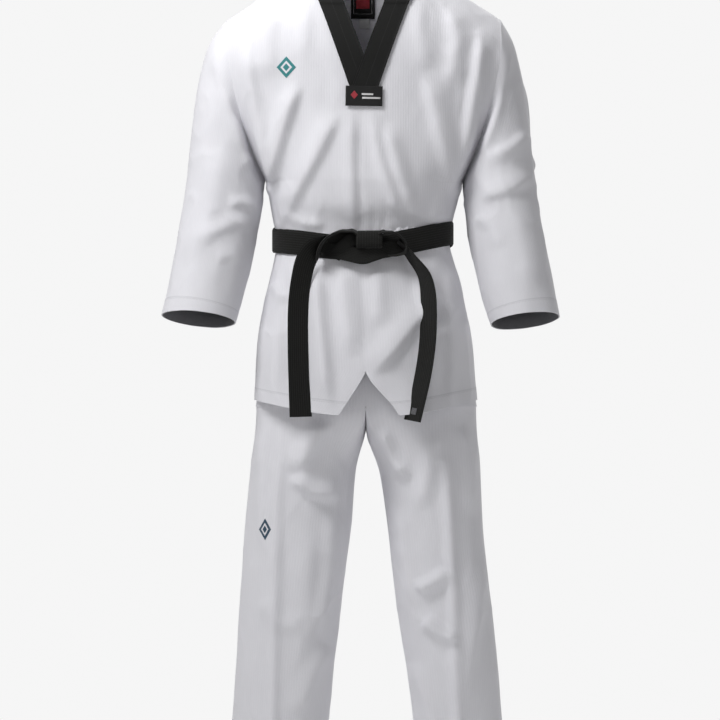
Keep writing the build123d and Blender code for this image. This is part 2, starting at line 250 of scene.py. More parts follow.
def ridges(points, folds, sign=1, depth=FOLD_DEPTH):
    """Height of a set of folds seen from the front or the back: each is a ridge (or, with a negative
    height, a furrow) along a line of (x, z) points, with a half width on its two sides, and fades
    at its ends."""
    x, z = points[:, 0] * sign, points[:, 2]
    total = np.zeros(len(points))
    for line, right, left, height in folds:
        best = np.full(len(points), 1e9)
        signed = np.zeros(len(points))
        reach = np.zeros(len(points))
        line = np.array(line, float)
        runs = np.linalg.norm(np.diff(line, axis=0), axis=1)
        done = 0.0
        for (ax, az), (bx, bz), run in zip(line[:-1], line[1:], runs):
            dx, dz = (bx - ax) / run, (bz - az) / run
            t = np.clip((x - ax) * dx + (z - az) * dz, 0, run)
            ox, oz = x - ax - t * dx, z - az - t * dz
            away = np.hypot(ox, oz)
            near = away < best
            best = np.where(near, away, best)
            signed = np.where(near, ox * -dz + oz * dx, signed)
            reach = np.where(near, (done + t) / runs.sum(), reach)
            done += run
        width = np.where(signed > 0, right, left)
        fade = smooth(-0.02, 0.22, reach) * (1 - smooth(0.74, 1.02, reach))
        total += depth * height * np.exp(-((best / width) ** 2)) * fade
    return total


def crumple(points, scale, seed):
    """Small sharp creases, from 0 on the flat to 1 along a crease."""
    across, down, deep = scale
    values = []
    for x, y, z in points:
        swirl = 0.35 * noise.noise(Vector((x / 60, y / 60 + seed, z / 60)))
        value = noise.noise(Vector((x / across + swirl, y / deep + seed, z / down + swirl)))
        values.append((1 - min(1.0, abs(value) * 2.6)) ** 2)
    return np.array(values)


def ripple(points, scale, seed):
    """Gentle waves of cloth, longer downwards than across."""
    across, down, deep = scale
    values = [
        noise.noise(Vector((p[0] / across + seed, p[1] / deep, p[2] / down)))
        + 0.45 * noise.noise(Vector((2.1 * p[0] / across, 2 * p[1] / deep + seed, 2.1 * p[2] / down)))
        for p in points
    ]
    return np.array(values)


# Folds of the jacket's front. A line runs downwards, and its first width is on its right-hand side
# as drawn, so that the steep side is the darker one.
CHEST_FOLDS = [
    ([(-112, -215), (-140, -300), (-158, -372), (-170, -430)], 9, 24, 9),
    ([(-46, -268), (-78, -338), (-112, -402), (-140, -462)], 10, 24, 7),
    ([(-20, -268), (-22, -350), (-19, -430), (-16, -480)], 8, 18, 4.0),
    ([(12, -268), (26, -352), (52, -428), (74, -470)], 14, 10, 5.5),
    ([(36, -286), (62, -380), (92, -462)], 16, 9, 6.0),
    ([(108, -196), (128, -290), (146, -365), (160, -430)], 30, 12, 8),
    ([(-205, -150), (-196, -215), (-178, -300), (-165, -375)], 10, 18, 6),
    ([(-160, -90), (-172, -150), (-160, -215)], 14, 22, 4),
    ([(205, -120), (196, -200), (180, -290), (168, -370)], 18, 9, 8),
    ([(150, -85), (160, -150), (150, -230)], 20, 12, 5),
    ([(85, -60), (98, -130), (112, -200)], 18, 14, 3),
    ([(-90, -60), (-104, -130), (-112, -190)], 14, 18, 3),
    ([(-150, -440), (-110, -462), (-60, -470)], 10, 14, 2.5),
    ([(70, -440), (110, -455), (150, -452)], 14, 9, 3),
]
SKIRT_FOLDS = [
    ([(-82, -528), (-78, -610), (-70, -700), (-62, -795)], 12, 28, 10),
    ([(-38, -530), (-34, -600), (-20, -700)], 24, 12, 6),
    ([(120, -590), (86, -640), (48, -690), (10, -730)], 10, 30, 8),
    ([(146, -525), (150, -600), (152, -700), (150, -790)], 16, 10, 4),
    ([(86, -528), (100, -600), (112, -700), (112, -790)], 20, 10, 6),
    ([(-144, -530), (-148, -600), (-150, -700), (-150, -790)], 10, 18, 3.5),
    ([(-116, -526), (-118, -590), (-112, -680)], 8, 14, 5),
    ([(20, -535), (24, -590), (26, -650)], 18, 12, 4),
    ([(-156, -566), (-146, -588), (-128, -598)], 8, 10, 2.5),
    ([(160, -604), (140, -640), (112, -655)], 10, 14, 3),
]
BACK_FOLDS = [
    ([(-190, -140), (-170, -230), (-140, -330), (-110, -440)], 14, 26, 8),
    ([(-120, -120), (-100, -230), (-80, -340), (-60, -460)], 18, 24, 6),
    ([(0, -110), (6, -230), (-4, -350), (0, -465)], 26, 20, 5),
    ([(110, -120), (98, -230), (84, -340), (58, -460)], 24, 16, 6),
    ([(185, -150), (168, -240), (142, -340), (120, -440)], 26, 14, 8),
    ([(-150, -430), (-100, -448), (-40, -452)], 12, 16, 5),
    ([(150, -428), (100, -444), (40, -450)], 12, 16, 5),
    ([(-130, -530), (-138, -620), (-144, -720), (-146, -800)], 14, 22, 9),
    ([(-62, -530), (-70, -630), (-76, -800)], 18, 20, 8),
    ([(6, -530), (2, -640), (8, -800)], 22, 18, 8),
    ([(74, -530), (82, -640), (86, -800)], 20, 16, 8),
    ([(136, -530), (146, -640), (152, -800)], 22, 14, 9),
    ([(-100, -540), (-40, -580), (30, -590)], 14, 18, 4),
]


def down_the_armhole(z):
    """0 at the top of the armhole seam, and 1 from its foot downwards."""
    return np.clip((ARMHOLE_TOP_Z - z) / (ARMHOLE_TOP_Z - ARMPIT_Z), 0, 1)


def belt_height(x, y):
    """Height of the belt's middle round the waist."""
    return mix(spline(BELT_FRONT_Z, x), BELT_BACK_Z, smooth(-20, 90, y))


def pressed(p):
    """1 where the cloth is free, and 0 where the belt, the collar or the tab holds it flat, and along
    the armhole seams."""
    x, y, z = np.abs(p[:, 0]), p[:, 1], p[:, 2]
    belt = 1 - 0.95 * np.exp(-(((z - belt_height(p[:, 0], y)) / 29) ** 6))
    edge = np.where(z > -224, 26 + 0.359 * (z + 224), 33)
    collar = np.maximum(smooth(2, 34, x - edge), smooth(0, 16, -262 - z))
    neck = smooth(0, 30, np.hypot(x, y - 20) - 95) + smooth(0, 20, -70 - z)
    seam = along([(-b, a) for a, b in ARMHOLE], down_the_armhole(z))[:, 1]
    armhole = np.maximum(smooth(1, 20, seam - x), smooth(0, 20, ARMPIT_Z - z))
    return belt * np.where(y < 0, collar, np.clip(neck, 0, 1)) * armhole


def jacket_relief(points):
    """How far the jacket's cloth stands out from its smooth shape."""
    front = points[:, 1] < 0
    seam = spline(SEAM_LINE, points[:, 2])
    groove = -1.4 * np.exp(-(((points[:, 0] - seam) / 3.2) ** 2)) * (points[:, 2] < -255)
    fore = ridges(points, CHEST_FOLDS + SKIRT_FOLDS) + groove
    aft = ridges(points, BACK_FOLDS)
    rim = smooth(3, 30, np.abs(points[:, 1]))
    height = np.where(front, fore, aft) * rim
    height += 3.2 * ripple(points, (80, 170, 90), 3.0)
    creased = 0.35 + smooth(80, 150, np.abs(points[:, 0])) + np.exp(-(((points[:, 2] + 470) / 60) ** 2))
    height += 1.0 * creased * crumple(points, (46, 92, 60), 5.0)
    cinch = np.exp(-(((points[:, 2] + 489) / 62) ** 2))
    turn = np.arctan2(points[:, 1], points[:, 0])
    height += cinch * 0.8 * np.sin(31 * turn + 2 * np.sin(5 * turn)) * rim
    return height * pressed(points) * mix(0.25, 1, rim)


# ---------------------------------------------------------------- the jacket's body
def shoulder_line(x):
    """Height of the shoulder seam over a distance from the middle."""
    stations = [(0, 4), NECK_SIDE, (125, -34), (180, -68), SHOULDER_TIP]
    return spline(stations, np.abs(x))


def armhole_depth(down):
    """Half depth of the armhole from the shoulder at 0 to its pointed foot at 1."""
    return ARMHOLE_DEPTH * np.sqrt(np.clip(down, 0, 1)) * np.clip(1 - down, 0, 1) ** 0.9 / 0.4015


def edge_of(side, down):
    """x and z of the jacket's edge: the armhole seam down to 1, then the side seam down to 2."""
    seam = along(ARMHOLE, np.minimum(down, 1))
    low = ARMPIT_Z + (HEM_Z + HEM_RISE - ARMPIT_Z) * np.clip(down - 1, 0, 1)
    table = LEFT_SIDE if side > 0 else RIGHT_SIDE
    x = np.where(down <= 1, seam[:, 0] * side, spline(table, low))
    z = np.where(down <= 1, seam[:, 1], low)
    return x, z


def jacket_point(share, down, side, face):
    """Points of one quarter of the jacket, "share" of the way from the middle to its edge.
    face is -1 in front and 1 behind."""
    edge_x, edge_z = edge_of(side, down)
    upper = down <= 1
    lift = (shoulder_line(share * SHOULDER_TIP[0]) - SHOULDER_TIP[1]) * (1 - np.minimum(down, 1)) ** 1.6
    hem = HEM_Z + HEM_RISE * share**1.5
    low = ARMPIT_Z + (hem - ARMPIT_Z) * np.clip(down - 1, 0, 1)
    z = np.where(upper, edge_z + lift, low)
    middle = np.zeros_like(z)
    if face < 0:
        notch = spline(NOTCH_LEFT if side > 0 else NOTCH_RIGHT, z)
        middle = np.where(z < NOTCH_Z, notch, spline(SEAM_LINE, z)) * smooth(0, 0.25, down)
    wide = np.where(upper, edge_x, spline(LEFT_SIDE if side > 0 else RIGHT_SIDE, z))
    x = mix(middle, wide, share)
    if face > 0:
        z = z + 27 * np.sin(math.pi * np.clip(down / 0.3, 0, 1)) * (1 - share**2) ** 2
    arch = np.sqrt(1 - (1 - np.clip(down / 0.42, 0, 1)) ** 2)
    table = FRONT_DEPTH if face < 0 else BACK_DEPTH
    full = np.where(upper, table[0][1] * arch, spline(table, z))
    at_edge = armhole_depth(down)
    round_side = (1 - share**WAIST_POWER) ** (1 / WAIST_POWER)
    soft_side = 1 - share**2.6
    curve = mix(soft_side, round_side, smooth(0.35, 1.0, down))
    y = face * (at_edge + (full - at_edge) * curve)
    return np.stack([x, y, z], axis=-1)


def jacket_body(material):
    """The jacket's front and back in one piece, open at the neck, the armholes and the hem."""
    down = np.concatenate([np.linspace(0, 1, 84) ** 1.15, np.linspace(1, 2, 108)[1:]])
    turn = np.linspace(0, math.pi / 2, 60)
    share = np.sin(turn) ** 0.93
    points, faces, uv, hem = [], [], [], []
    for side in (1, -1):
        for face in (-1, 1):
            d, s = np.meshgrid(down, share, indexing="ij")
            grid = jacket_point(s.ravel(), d.ravel(), side, face).reshape(*d.shape, 3)
            start = sum(len(p) for p in points)
            index = np.arange(d.size).reshape(d.shape) + start
            quads = []
            add_quads(quads, index if side * face > 0 else index[:, ::-1])
            flat = grid.reshape(-1, 3)
            keep = []
            for quad in quads:
                c = flat[[i - start for i in quad]].mean(axis=0)
                keep.append(not in_neck(c, face))
            faces += [q for q, k in zip(quads, keep) if k]
            across = np.cumsum(
                np.concatenate(
                    [np.zeros((len(down), 1)), np.linalg.norm(np.diff(grid, axis=1), axis=2)], axis=1
                ),
                axis=1,
            )
            points.append(flat)
            uv.append(np.column_stack([side * across.ravel(), -grid[..., 2].ravel()]))
            hem.append((np.clip(2 - d, 0, 1) * (ARMPIT_Z - HEM_Z)).ravel())
    points, uv, hem = np.concatenate(points), np.concatenate(uv), np.concatenate(hem)
    return cloth_piece("jacket_cloth", points, faces, uv, material, hem=hem, relief=jacket_relief)


def in_neck(c, face):
    """True inside the neck opening, up to the middle of the collar's band."""
    x, _, z = c
    if face < 0:
        half = (z - V_FOOT) * V_SLOPE + BAND_WIDTH * 0.55
        return abs(x) < half and z > V_FOOT - 40
    return abs(x) < 88 and z > -8 - 26 * (abs(x) / 88) ** 3


# ---------------------------------------------------------------- sleeves
# Outer and inner outlines of the sleeves from shoulder to cuff: x and z.
SLEEVE_OUT = {
    -1: [(-240, -106), (-268, -143), (-283, -183), (-296, -250), (-306, -335), (-314, -410),
         (-326, -485), (-341, -563), (-354, -624)],
    1: [(240, -106), (261, -144), (272, -183), (285, -250), (293, -335), (304, -420),
        (317, -493), (331, -563), (342, -627)],
}
SLEEVE_IN = {
    -1: [(-173, -388), (-175, -396), (-177, -408), (-178, -425), (-182, -452), (-190, -492),
         (-201, -545), (-213, -598), (-225, -638)],
    1: [(173, -388), (173, -396), (174, -408), (176, -425), (179, -452), (185, -493),
        (196, -545), (208, -598), (222, -641)],
}
SLEEVE_DEPTH = [84, 85, 86, 85, 81, 77, 73, 69, 64]
SLEEVE_FORWARD = [0, 0, -1, -4, -11, -20, -34, -50, -64]
CUFF_TILT = 0.21
SLEEVE_FOLDS = {
    -1: [
        ([(-238, -225), (-226, -280), (-205, -340)], 10, 16, 7),
        ([(-222, -270), (-208, -320), (-192, -372)], 6, 12, 8),
        ([(-186, -440), (-212, -428), (-240, -430)], 8, 12, 7),
        ([(-190, -470), (-225, -462), (-262, -480), (-288, -505)], 9, 16, 6),
        ([(-262, -200), (-275, -290), (-284, -380)], 20, 16, 2.5),
        ([(-250, -330), (-262, -400), (-282, -460), (-300, -540)], 22, 26, 6),
        ([(-215, -540), (-232, -520), (-262, -528)], 10, 14, 4),
    ],
    1: [
        ([(236, -225), (222, -290), (200, -345)], 14, 9, 8),
        ([(288, -300), (258, -330), (230, -345), (206, -345)], 16, 10, 8),
        ([(290, -372), (262, -400), (232, -412), (200, -418)], 10, 22, 9),
        ([(276, -230), (282, -330), (294, -440), (312, -580)], 34, 12, 2.5),
        ([(195, -450), (222, -470), (240, -510)], 14, 12, 4),
        ([(265, -420), (280, -500), (292, -590)], 22, 16, 4),
        ([(244, -150), (252, -200), (252, -270)], 14, 12, 2.5),
    ],
}
SLEEVE_BACK_FOLDS = [
    ([(236, -230), (225, -300), (205, -350)], 12, 14, 7),
    ([(300, -350), (262, -372), (225, -380), (195, -376)], 14, 14, 7),
    ([(300, -430), (265, -440), (230, -432), (195, -412)], 14, 16, 7),
    ([(262, -200), (270, -300), (280, -400)], 24, 20, 5),
    ([(262, -460), (280, -540), (290, -610)], 24, 20, 5),
]


def sleeve(side, material):
    """One sleeve, from the armhole seam to the cuff."""
    columns, rows = 108, 150
    name = "left" if side > 0 else "right"
    stations = np.linspace(0, 1, len(SLEEVE_DEPTH))
    place = np.linspace(0, 1, rows) ** 1.35  # closer together by the armhole, where the cloth bends
    outer = spline(np.column_stack([stations, np.array(SLEEVE_OUT[side], float)]), place)
    inner = spline(np.column_stack([stations, np.array(SLEEVE_IN[side], float)]), place)
    depth = spline(np.column_stack([stations, SLEEVE_DEPTH]), place)
    forward = spline(np.column_stack([stations, SLEEVE_FORWARD]), place)
    turn = np.linspace(0, 2 * math.pi, columns, endpoint=False)
    share = (1 - np.cos(turn)) / 2
    grid = np.zeros((rows, columns, 3))
    for row in range(rows):
        x = mix(outer[row, 0], inner[row, 0], share)
        z = mix(outer[row, 1], inner[row, 1], share)
        y = forward[row] - np.sin(turn) * depth[row]
        tilt = CUFF_TILT * smooth(0.15, 1.0, place[row])
        grid[row] = np.column_stack([x, y, z - (y - forward[row]) * tilt])
    seam = along([(side * x, z) for x, z in ARMHOLE], share)
    first = np.column_stack([seam[:, 0], -np.sign(np.sin(turn)) * armhole_depth(share), seam[:, 1]])
    shift = first - grid[0]
    for row in range(rows):
        grid[row] += shift * (1 - smooth(0, 0.30, place[row]))
    index = np.arange(rows * columns).reshape(rows, columns)
    faces = []
    add_quads(faces, index if side > 0 else index[:, ::-1], closed=True)
    points = grid.reshape(-1, 3)
    girth = np.linalg.norm(np.diff(grid, axis=1, append=grid[:, :1]), axis=2).mean(axis=0)
    u = np.tile(np.concatenate([[0], np.cumsum(girth)[:-1]]), rows)
    length = np.linalg.norm(np.diff(grid, axis=0), axis=2).mean(axis=1)
    v = np.repeat(np.concatenate([[0], np.cumsum(length)]), columns)

    def relief(p):
        front = ridges(p, SLEEVE_FOLDS[side], 1, 0.9)
        back = ridges(p, SLEEVE_BACK_FOLDS, side)
        middle = np.interp(-p[:, 2], [100, 400, 640], [0, -18, -64])
        rim = smooth(2, 26, np.abs(p[:, 1] - middle))
        height = np.where(p[:, 1] < middle, front, back) * rim
        height += 2.6 * ripple(p, (60, 130, 70), 11.0 + side)
        elbow = 0.5 + 1.2 * np.exp(-(((p[:, 2] + 430) / 110) ** 2))
        height += 1.1 * elbow * crumple(p, (52, 60, 60), 15.0 + side)
        height *= mix(0.3, 1, rim)
        return height * smooth(0, 0.05, np.abs(seam_distance(p, side)) / 400)

    # The sleeves' inner faces are darkened almost fully: painted shade for the dim inside of the sleeve
    # mouths.
    return cloth_piece(f"{name}_sleeve", points, faces, np.column_stack([u, v]), material,
                       hem=v.max() - v, relief=relief, inside_shade=0.95)


def seam_distance(p, side):
    """Distance of points from the armhole seam, outwards along the sleeve."""
    line = along(ARMHOLE, down_the_armhole(p[:, 2]))
    return p[:, 0] * side - line[:, 0] + np.maximum(0, ARMPIT_Z - p[:, 2])


# ---------------------------------------------------------------- trousers
LEG_FOLDS = {
    -1: [
        ([(-62, -800), (-90, -850), (-124, -905)], 14, 22, 9),
        ([(-128, -905), (-90, -935), (-40, -940)], 26, 10, 7),
        ([(-142, -800), (-150, -950), (-154, -1100), (-157, -1250), (-160, -1400), (-163, -1530)],
         9, 12, 4.5),
        ([(-176, -800), (-178, -900), (-176, -1000), (-170, -1060)], 10, 12, 4),
        ([(-58, -960), (-62, -1080), (-90, -1200)], 18, 14, 5),
        ([(-180, -1120), (-150, -1160), (-110, -1180)], 18, 14, 3),
        ([(-60, -1200), (-90, -1250), (-120, -1330)], 16, 18, 4),
        ([(-95, -1000), (-100, -1120), (-104, -1240)], 16, 18, 3),
        ([(-130, -1380), (-150, -1440), (-190, -1490)], 14, 16, 4),
    ],
    1: [
        ([(28, -815), (50, -860), (84, -912)], 9, 18, 8),
        ([(138, -800), (146, -950), (152, -1085), (158, -1250), (170, -1400), (182, -1530)], 12, 9, 5.5),
        ([(170, -810), (180, -900), (184, -980)], 16, 12, 4),
        ([(92, -1105), (118, -1092), (148, -1070)], 10, 16, 8),
        ([(104, -1155), (136, -1178), (162, -1196)], 10, 14, 8),
        ([(206, -1050), (196, -1120), (184, -1210), (170, -1330)], 14, 26, 5.5),
        ([(58, -960), (74, -1060), (92, -1150)], 12, 14, 4),
        ([(84, -1230), (110, -1290), (130, -1380)], 14, 16, 4),
        ([(120, -820), (112, -900), (96, -970)], 16, 14, 4),
    ],
}
LEG_BACK_FOLDS = [
    ([(96, -830), (120, -930), (132, -1080), (140, -1250), (160, -1400), (175, -1530)], 10, 10, 5),
    ([(40, -840), (80, -880), (130, -905)], 12, 18, 7),
    ([(60, -1060), (100, -1085), (160, -1095)], 12, 16, 7),
    ([(70, -1120), (110, -1150), (175, -1160)], 12, 16, 7),
    ([(90, -1220), (130, -1260), (190, -1290)], 14, 16, 5),
]
LEG_OUT = {
    -1: [(-785, -189), (-843, -194), (-913, -201), (-983, -208), (-1088, -215), (-1158, -220),
         (-1228, -224), (-1298, -229), (-1400, -236), (-1535, -245)],
    1: [(-785, 197), (-843, 201), (-913, 205), (-983, 208), (-1088, 218), (-1158, 227),
        (-1228, 234), (-1298, 240), (-1400, 249), (-1535, 261)],
}
LEG_IN = {
    -1: [(-803, -1), (-843, -9), (-913, -16), (-983, -21), (-1088, -35), (-1158, -43),
         (-1228, -52), (-1298, -58), (-1400, -68), (-1535, -83)],
    1: [(-803, 5), (-843, 15), (-913, 30), (-983, 40), (-1088, 52), (-1158, 61),
        (-1228, 72), (-1298, 82), (-1400, 94), (-1535, 111)],
}
LEG_DEPTH = [(-785, 108), (-840, 99), (-913, 93), (-983, 91), (-1088, 89), (-1298, 84), (-1535, 80)]
HIP_DEPTH = [(-470, 105), (-512, 106), (-560, 109), (-640, 112), (-720, 112), (-785, 108)]
HIP_WIDTH = {
    -1: [(-470, -145), (-512, -146), (-560, -154), (-640, -166), (-720, -178), (-785, -189)],
    1: [(-470, 145), (-512, 146), (-560, 154), (-640, 168), (-720, 184), (-785, 197)],
}
HIP_BULGE = 2.5
FORK_TURN = 0.85  # part of a turn's radians given to the crotch seam, each side of its middle


def hip_ring(side, z, turn):
    """Points round one half of the hips: turn is 0 at the front middle and pi at the back middle."""
    wide = spline(HIP_WIDTH[side], z)
    deep = spline(HIP_DEPTH, z)
    power = 2 / HIP_BULGE
    x = CENTRE_X + (wide - CENTRE_X) * np.sin(turn) ** power
    y = -np.sign(np.cos(turn)) * np.abs(np.cos(turn)) ** power * deep
    return np.stack([x, y, np.broadcast_to(z, x.shape)], axis=-1)


def hips_relief(p):
    """Ripples of the hips, and the gathers under the waistband."""
    height = 2.4 * ripple(p, (70, 150, 80), 21.0)
    turn = np.arctan2(p[:, 1], p[:, 0])
    gather = smooth(-600, -512, p[:, 2])
    height += gather * 1.6 * np.sin(46 * turn + 2 * np.sin(7 * turn))
    return height * smooth(0, 30, p[:, 2] - FORK_Z) * smooth(2, 40, np.abs(p[:, 1]))


def hips(material):
    """The trousers' top, from the waistband to where the legs start."""
    rows, columns = 84, 76
    turn = np.linspace(0, math.pi, columns)
    points, faces, uv = [], [], []
    for side in (1, -1):
        grid = np.stack([hip_ring(side, z, turn) for z in np.linspace(-508, FORK_Z, rows)])
        index = np.arange(rows * columns).reshape(rows, columns) + sum(len(p) for p in points)
        add_quads(faces, index if side > 0 else index[:, ::-1])
        girth = np.linalg.norm(np.diff(grid, axis=1), axis=2).mean(axis=0)
        u = np.tile(side * np.concatenate([[0], np.cumsum(girth)]), rows)
        points.append(grid.reshape(-1, 3))
        uv.append(np.column_stack([u, -grid[..., 2].ravel()]))
    return cloth_piece("trousers_hips", np.concatenate(points), faces, np.concatenate(uv), material,
                       relief=hips_relief)


def leg(side, material):
    """One leg: its first row is the lower edge of the hips and the crotch seam."""
    name = "left" if side > 0 else "right"
    rows, columns = 186, 132
    turn = np.linspace(0, 2 * math.pi, columns, endpoint=False)
    fork = np.minimum(turn, 2 * math.pi - turn) < FORK_TURN
    outer_turn = np.clip((turn - FORK_TURN) / (2 * math.pi - 2 * FORK_TURN), 0, 1) * math.pi
    first = hip_ring(side, FORK_Z, outer_turn)
    wrapped = np.where(turn > math.pi, turn - 2 * math.pi, turn) / FORK_TURN
    deep = LEG_DEPTH[0][1]
    crotch = np.column_stack(
        [
            np.full(columns, CENTRE_X),
            -np.sin(np.clip(wrapped, -1, 1) * math.pi / 2) * deep,
            CROTCH_Z + (FORK_Z - CROTCH_Z) * np.abs(wrapped) ** 2,
        ]
    )
    first = np.where(fork[:, None], crotch, first)
    lows = np.linspace(0, 1, rows)
    grid = np.zeros((rows, columns, 3))
    for row, low in enumerate(lows):
        z = mix(first[:, 2], ANKLE_Z, low)
        inner, outer = spline(LEG_IN[side], z), spline(LEG_OUT[side], z)
        middle, half = (inner + outer) / 2, (outer - inner) / 2
        x = middle - half * np.cos(turn)
        y = -np.sin(turn) * spline(LEG_DEPTH, z)
        round_ring = np.column_stack([x, y, z])
        start = first + np.array([0, 0, 1.0]) * (z - first[:, 2])[:, None]
        grid[row] = mix(start, round_ring, smooth(0, 0.13, low))
    index = np.arange(rows * columns).reshape(rows, columns)
    faces = []
    add_quads(faces, index[:, ::-1] if side > 0 else index, closed=True)
    girth = np.linalg.norm(np.diff(grid, axis=1, append=grid[:, :1]), axis=2).mean(axis=0)
    u = np.tile(np.concatenate([[0], np.cumsum(girth)[:-1]]), rows)
    v = -grid[..., 2].ravel()

    def relief(p):
        rim = smooth(2, 30, np.abs(p[:, 1]))
        front = ridges(p, LEG_FOLDS[side], 1, 1.9)
        height = np.where(p[:, 1] < 0, front, ridges(p, LEG_BACK_FOLDS, side)) * rim
        height += 2.8 * ripple(p, (70, 160, 80), 31.0 + side)
        bent = 0.4 + np.exp(-(((p[:, 2] + 1120) / 120) ** 2)) + 0.8 * np.exp(-(((p[:, 2] + 880) / 80) ** 2))
        height += 1.3 * bent * crumple(p, (60, 80, 60), 35.0 + side)
        height *= mix(0.35, 1, rim)
        return height * smooth(0, 40, FORK_Z - 4 - p[:, 2])

    return cloth_piece(f"{name}_trouser_leg", grid.reshape(-1, 3), faces, np.column_stack([u, v]), material,
                       hem=-ANKLE_Z - v, relief=relief)


# ---------------------------------------------------------------- straps
def strap(name, path, widthwise, width, thick, material, columns=17, rows=90, bulge=0.0):
    """A flat band swept along a smooth path of points. widthwise gives the direction across it at
    the same points. Its edges are rounded."""
    at = np.linspace(0, 1, rows)
    line = along(path, at)
    run = lengths(np.array(path, float))
    across = spline(np.column_stack([run / run[-1], np.array(widthwise, float)]), at)
    ahead = np.gradient(line, axis=0)
    ahead /= np.linalg.norm(ahead, axis=1, keepdims=True)
    across -= ahead * (across * ahead).sum(axis=1, keepdims=True)
    across /= np.linalg.norm(across, axis=1, keepdims=True)
    up = np.cross(across, ahead)
    share = np.linspace(-1, 1, columns)
    edge = (1 - np.abs(share) ** 14) ** 0.5 * 0.5
    profile = [(s * 0.5, e) for s, e in zip(share, edge)]
    profile += [(s * 0.5, -e) for s, e in zip(share[::-1][1:-1], edge[::-1][1:-1])]
    profile = np.array(profile)
    crown = bulge * (1 - (2 * profile[:, 0]) ** 2)
    wide = np.broadcast_to(width, (rows,))
    grid = (
        line[:, None]
        + across[:, None] * (profile[:, 0] * wide[:, None])[..., None]
        + up[:, None] * (profile[:, 1] * thick + crown)[None, :, None]
    )
    loop = len(profile)
    index = np.arange(rows * loop).reshape(rows, loop)
    faces = []
    add_quads(faces, index, closed=True)
    faces.append(list(index[0]))
    faces.append(list(index[-1][::-1]))
    uv = np.column_stack([np.tile(profile[:, 0] * BELT_WIDTH, rows), np.repeat(lengths(line), loop)])
    obj = make_mesh(name, grid.reshape(-1, 3), faces, uv, None, material)
    return tidy_normals(obj)


def tidy_normals(obj):
    """Turns every face outwards."""
    work = bmesh.new()
    work.from_mesh(obj.data)
    bmesh.ops.recalc_face_normals(work, faces=work.faces)
    work.to_mesh(obj.data)
    work.free()
    return obj


# ---------------------------------------------------------------- collar
# Edges of one collar band from under the tab, up the front, round the side of the neck and to the
# middle of the back: x, y and z. Up to station SNAP_END the front's surface gives y.
BAND_INNER = [
    (-25, 0, -236), (0, 0, -170), (19, 0, -120), (36, 0, -75), (49, -38, -36), (60, -14, -8),
    (62, 12, 5), (56, 38, 14), (38, 58, 21), (0, 68, 25),
]
BAND_OUTER = [
    (22, 0, -236), (45, 0, -170), (63, 0, -120), (80, 0, -75), (92, -62, -51), (101, -24, -31),
    (102, 12, -25), (90, 50, -25), (60, 76, -25), (0, 88, -21),
]
SNAP_END = 3.6
BAND_THICK = 2.4


def half_surface(face):
    """The front or back of the jacket without its neck opening, to lay things on."""
    points, faces = [], []
    for side in (1, -1):
        d, s = np.meshgrid(np.linspace(0.004, 2, 160), np.linspace(0, 1, 60), indexing="ij")
        index = np.arange(d.size).reshape(d.shape) + sum(len(p) for p in points)
        add_quads(faces, index)
        points.append(jacket_point(s.ravel(), d.ravel(), side, face))
    flat = np.concatenate(points)
    return BVHTree.FromPolygons([Vector(p) for p in flat], faces)


def clear_of(surfaces, p, lift):
    """A point pushed out of the jacket where it lies in it or too close to it."""
    hits = [surface.find_nearest(Vector(p)) for surface in surfaces]
    hit, normal, _, _ = min(hits, key=lambda found: found[3])
    if normal.dot(hit - Vector((0, 10, -200))) < 0:
        normal = -normal
    short = lift - (Vector(p) - hit).dot(normal)
    return p + np.array(normal) * max(0.0, short)


def surface_of(obj):
    """The outside of a finished piece of cloth, in millimetres, to lay marks on."""
    points = [Vector(v.co) / MM for v in obj.data.vertices]
    return BVHTree.FromPolygons(points, [tuple(p.vertices) for p in obj.data.polygons])


def lay(surface, x, z, lift):
    """The point of a surface at x and z as seen from the front, lifted towards the viewer."""
    hit, normal, _, _ = surface.ray_cast(Vector((x, -400, z)), Vector((0, 1, 0)))
    if normal.y > 0:
        normal = -normal
    return np.array(hit + normal * lift)


def collar_band(side, surfaces, material, lift):
    """Half of the collar, laid on the jacket and then round the neck."""
    rows, columns = 210, 18
    station = np.linspace(0, len(BAND_INNER) - 1, rows)
    places = np.arange(len(BAND_INNER))
    inner = spline(np.column_stack([places, BAND_INNER]), station)
    outer = spline(np.column_stack([places, BAND_OUTER]), station)
    grid = np.zeros((rows, columns, 3))
    for row in range(rows):
        for column, share in enumerate(np.linspace(0, 1, columns)):
            p = mix(inner[row], outer[row], share)
            p[0] *= side
            free = float(smooth(SNAP_END - 0.8, SNAP_END + 0.9, station[row]))
            if free < 1:
                on_front = lay(surfaces[0], p[0], p[2], lift)
                p = mix(on_front, p, free)
            grid[row, column] = clear_of(surfaces, p, lift + 1.5) if free > 0 else p
    index = np.arange(rows * columns).reshape(rows, columns)
    faces = []
    add_quads(faces, index if side < 0 else index[:, ::-1])
    points = grid.reshape(-1, 3)
    crown = np.tile(1 - np.abs(np.linspace(-1, 1, columns)) ** 10, rows) * 0.9
    points = points + normals_of(points, faces) * crown[:, None]
    across = np.tile(np.linspace(0, BAND_WIDTH, columns), rows)
    uv = np.column_stack([across, np.repeat(lengths(grid[:, columns // 2]), columns)])
    name = "left" if side > 0 else "right"
    return cloth_piece(f"{name}_collar_band", points, faces, uv, material, thickness=BAND_THICK)


